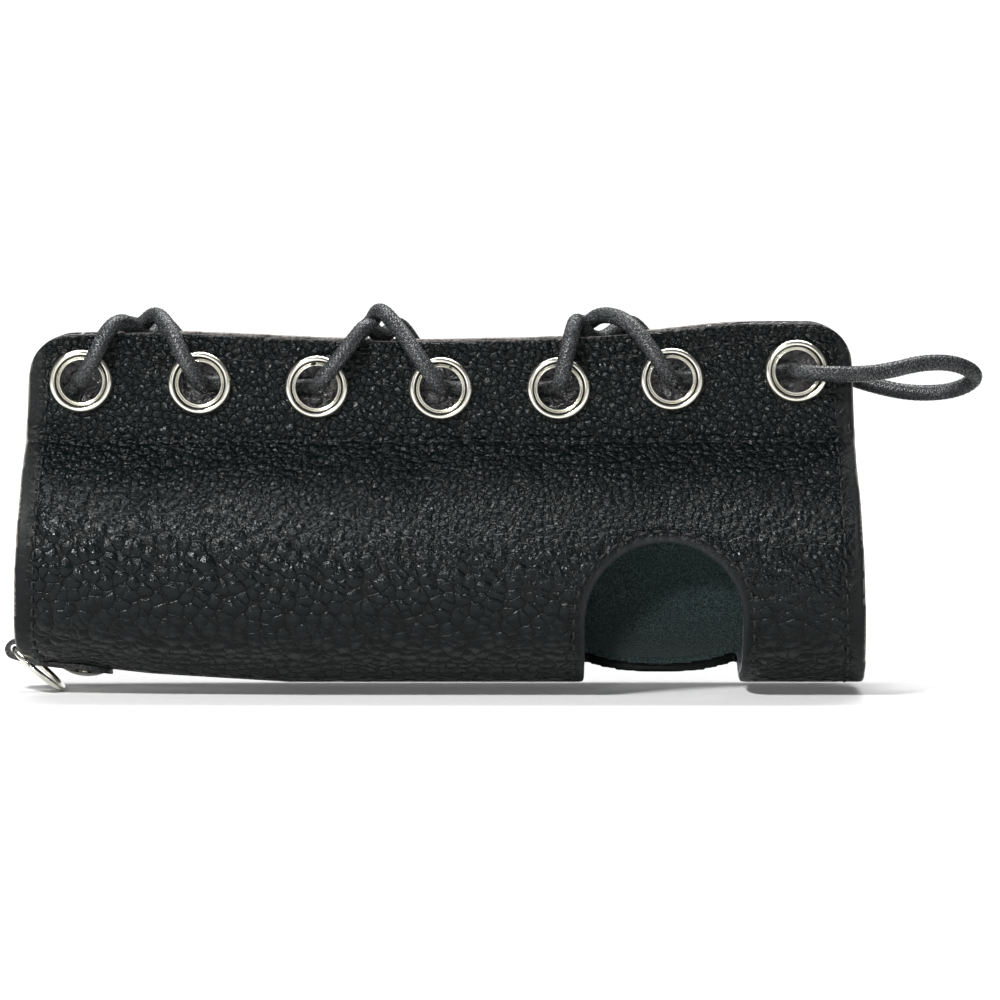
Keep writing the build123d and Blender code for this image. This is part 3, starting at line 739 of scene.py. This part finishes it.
def mark_shell(obj, points, normals):
    """Writes where the leather is pressed smooth, where it is a cut rim, and where its raw edge shows, the
    flaps' upward top edges included as a painted highlight.
    """
    front = points[:, 1] < 0
    arch = arch_distance(points)
    share = np.clip((points[:, 2] - shell_low.z) / (shell_high.z - shell_low.z), 0, 1)
    slant = END_SLANT * share
    inset = np.minimum(points[:, 0] - (shell_low.x + slant), (shell_high.x - slant) - points[:, 0])
    pressed = 1 - smoothstep(1.5 * MM, 2.3 * MM, inset)
    rim = (1 - smoothstep(0.35 * MM, 0.65 * MM, arch)) * front * (np.abs(arch) < 2 * MM)
    under = np.abs(points[:, 0] - CUTOUT_X) < CUTOUT_RADIUS + 0.3 * MM
    under = under & (points[:, 1] > 2 * MM) & (points[:, 2] < -8 * MM)
    cut_face = smoothstep(0.3, 0.7, -normals[:, 1]) * under
    pressed = np.maximum(pressed, (1 - smoothstep(0.7 * MM, 1.3 * MM, arch)) * front)
    pressed = np.maximum(pressed, cut_face)
    set_attribute(obj, "pressed", pressed)
    set_attribute(obj, "rim", np.maximum(rim, 0.35 * cut_face))
    end_face = smoothstep(0.55, 0.85, np.abs(normals[:, 0])) * (inset < 0.5 * MM)
    # Painted highlight: the flaps' upward-facing top edges get the raw-edge colour, strongly on the rear
    # flap and faintly on the front, as the overhead light falls.
    top_edge_highlight_share = np.where(front, 0.25, 0.95)
    top_raw_edge_and_highlight = smoothstep(0.6, 0.9, normals[:, 2]) * (points[:, 2] > 27 * MM) * top_edge_highlight_share
    set_attribute(obj, "raw_edge_and_top_highlight", np.maximum(end_face, top_raw_edge_and_highlight))


def lift_top(obj):
    """Raises the flaps' top edges in mid-length, where their dip is shallower than the CAD's."""
    points = points_of(obj)
    lift = np.interp(points[:, 0] / MM, TOP_LIFT_X, TOP_LIFT)
    points[:, 2] += lift * MM * smoothstep(24 * MM, 28.4 * MM, points[:, 2])
    set_points(obj, points)


def dress_shell(obj):
    """Sinks the stitches and marks the leather, both by the normals it has before it is pressed."""
    points, normals = points_of(obj), normals_of(obj)
    sink_stitches(points, normals)
    set_points(obj, points)
    mark_shell(obj, points, normals)


for layer in (shell, lining):
    lift_top(layer)
dress_shell(shell)
for node in ("front_facing", "rear_facing", "tongue"):
    set_material(node_object(node), patent)
set_material(node_object("ring_tab"), tab_leather)


# ---------------------------------------------------------------- stitches

STITCH_STEPS = 12              # points of the row's line in one stitch
STITCH_AROUND, STITCH_RINGS = 8, 9
STITCH_SINK = 0.10 * MM        # its middle below the face
STITCH_BOW = 0.30 * MM         # its ends below its middle


def stitch_mesh(name, lines, radius, gap_share, node):
    """Rows of separate stitches, each a short bowed capsule that dives into the leather at its ends."""
    points, faces = [], []
    around, rings = STITCH_AROUND, STITCH_RINGS
    for line in lines:
        path, length = evenly(line, STITCH_PITCH / STITCH_STEPS)
        count = int(length / STITCH_PITCH)
        for number in range(count):
            start = number * STITCH_STEPS
            piece = path[start : start + STITCH_STEPS + 1]
            if len(piece) <= STITCH_STEPS:
                continue
            middle = piece[STITCH_STEPS // 2]
            if in_tab(middle) or not near_shell(middle):
                continue
            along_line = piece[-1] - piece[0]
            along_line /= np.linalg.norm(along_line)
            out = outward(middle)
            side = np.cross(along_line, out)
            side /= np.linalg.norm(side)
            up = np.cross(side, along_line)
            jitter = random.normal(0, 0.05, 3)
            reach = (1 - gap_share) * STITCH_PITCH / 2
            first = len(points)
            for ring in range(rings):
                t = -1 + 2 * ring / (rings - 1)
                centre = middle + along_line * t * reach * (1 + 0.3 * jitter[0])
                centre = centre + side * 0.4 * MM * jitter[1] * t
                centre = centre - up * (STITCH_SINK + STITCH_BOW * t * t)
                size = radius * math.sqrt(max(0.06, 1 - 0.55 * t**4 - 0.4 * t**8)) * (1 + 0.4 * jitter[2])
                for k in range(around):
                    a = 2 * math.pi * k / around
                    points.append(centre + size * (math.cos(a) * side + math.sin(a) * up))
            for ring in range(rings - 1):
                for k in range(around):
                    a, b = first + ring * around + k, first + ring * around + (k + 1) % around
                    faces.append((a, b, b + around, a + around))
            faces.append(tuple(first + k for k in range(around))[::-1])
            faces.append(tuple(first + (rings - 1) * around + k for k in range(around)))
    obj = mesh_from(name, points, faces)
    set_material(obj, thread)
    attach(obj, GUARD)
    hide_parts(node)
    return obj


def outward(place):
    """The CAD shell's outward direction nearest to a place."""
    return np.array(shell_tree.find_nearest(Vector(place))[1])


def in_tab(place):
    """Whether a place is under the ring's tab, where no stitch shows."""
    margin = 0.4 * MM
    return all(low - margin < c < high + margin for c, low, high in zip(place, tab_low, tab_high))


def near_shell(place):
    return shell_tree.find_nearest(Vector(place))[3] < 0.25 * MM


stitch_mesh("edge_stitches", end_lines + flap_lines, 0.20 * MM, 0.24, "edge_thread")
stitch_mesh("seam_stitches", seam_lines, 0.13 * MM, 0.30, "seam_thread")
stitch_mesh("cutout_stitches", [arch_line], 0.22 * MM, 0.24, "cutout_thread")


# ---------------------------------------------------------------- hardware

def lathe(name, profile, centre, axis_sign, around, material, node):
    """A turned piece about a line along Y; its closed profile is (radius, distance outwards) in mm."""
    profile = np.array(profile) * MM
    angle = np.linspace(0, 2 * math.pi, around, endpoint=False)
    rings = np.empty((around, len(profile), 3))
    rings[..., 0] = centre[0] + np.cos(angle)[:, None] * profile[:, 0]
    rings[..., 1] = centre[1] + axis_sign * profile[:, 1]
    rings[..., 2] = centre[2] + np.sin(angle)[:, None] * profile[:, 0]
    count = len(profile)
    faces = []
    for i in range(around):
        for j in range(count):
            a, b = i * count + j, i * count + (j + 1) % count
            c, d = ((i + 1) % around) * count + (j + 1) % count, ((i + 1) % around) * count + j
            faces.append((a, b, c, d) if axis_sign < 0 else (d, c, b, a))
    obj = mesh_from(name, rings.reshape(-1, 3), faces)
    set_material(obj, material)
    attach(obj, GUARD)
    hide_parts(node)
    return obj


def smooth_profile(corners, steps=6):
    """A closed outline rounded through its corners."""
    points = []
    corners = [np.array(c, dtype=float) for c in corners]
    for i, corner in enumerate(corners):
        before = (corners[i - 1] + corner) / 2
        after = (corner + corners[(i + 1) % len(corners)]) / 2
        for t in np.linspace(0, 1, steps, endpoint=False):
            points.append((1 - t) ** 2 * before + 2 * t * (1 - t) * corner + t**2 * after)
    return points


# From the inner curl through the bore to the front roll, out over the flange and back along the leather.
eyelet_section = smooth_profile([
    (3.55, -2.05), (3.05, -2.30), (2.68, -1.9), (2.68, -1.0), (2.68, -0.3),
    (2.70, -0.02), (2.82, 0.08), (2.96, -0.02), (3.06, 0.10), (3.22, 0.62),
    (3.46, 0.94), (3.80, 0.92), (4.08, 0.60), (4.20, 0.20), (4.14, -0.06),
    (3.5, 0.02), (3.08, -0.16), (3.0, -1.0), (3.04, -1.85),
])
EYELET_AROUND = 72
for number in range(1, len(EYELETS) + 1):
    for side, sign in (("front", -1), ("rear", 1)):
        node = f"{side}_eyelet_{number}"
        low, high = (Vector(corner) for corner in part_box(node))
        centre = ((low.x + high.x) / 2, sign * flap_face, (low.z + high.z) / 2)
        name = f"{side}_rolled_eyelet_{number}"
        lathe(name, eyelet_section, centre, sign, EYELET_AROUND, metal, node)
        set_material(node_object(f"{side}_washer_{number}"), metal)
for node in ("ring", "tab_rivet", "tab_rivet_back"):
    set_material(node_object(node), metal)


# ---------------------------------------------------------------- studio

floor_z = cad_bounds[0][2]
ROOM_STRENGTH = 0.18
SOFTBOXES = [          # name, place, aim, width, height, power
    ("key_light", (-0.22, -0.39, 0.38), (0, 0, 0.005), 0.12, 0.05, 5.2),
    ("top_light", (0.05, 0.12, 0.48), (0, 0, 0.01), 0.30, 0.12, 1.8),
    ("front_light", (-0.14, -0.66, 0.19), (0, 0, 0.02), 0.08, 0.05, 1.5),
    ("front_card", (0.05, -0.95, 0.15), (0, 0, 0.01), 0.60, 0.30, 0.45),
    ("left_light", (-0.42, -0.22, 0.08), (0, 0, 0), 0.24, 0.26, 0.22),
    ("right_light", (0.42, -0.26, 0.08), (0, 0, 0), 0.24, 0.26, 0.18),
    ("backdrop_light", (0, 0.25, 0.9), (0, 0.85, 0.25), 1.2, 0.3, 14.0),
]


def studio():
    """A pale floor that curves up into a lit backdrop, lamps in front and above, and a dim white room."""
    rows = [(-1.2, 0.0), (0.5, 0.0)]
    rows += [(0.5 + 0.5 * math.sin(a), 0.5 - 0.5 * math.cos(a)) for a in np.linspace(0.15, math.pi / 2, 12)]
    rows.append((1.0, 1.6))
    points = [(x, y, floor_z + z) for y, z in rows for x in (-1.6, 1.6)]
    faces = [(2 * i, 2 * i + 1, 2 * i + 3, 2 * i + 2) for i in range(len(rows) - 1)]
    sweep = mesh_from("studio_floor", points, faces)
    set_material(sweep, plain_floor("studio_paper"))

    world = bpy.data.worlds.new("studio")
    bpy.context.scene.world = world
    world.use_nodes = True
    world.node_tree.nodes["Background"].inputs["Color"].default_value = (1, 1, 1, 1)
    world.node_tree.nodes["Background"].inputs["Strength"].default_value = ROOM_STRENGTH

    for name, place, aim, width, height, power in SOFTBOXES:
        lamp = bpy.data.lights.new(name, "AREA")
        lamp.shape = "RECTANGLE"
        lamp.size = width
        lamp.size_y = height
        lamp.energy = power
        obj = add_object(name, lamp)
        obj.location = place
        obj.rotation_euler = (Vector(aim) - Vector(place)).to_track_quat("-Z", "Y").to_euler()


studio()
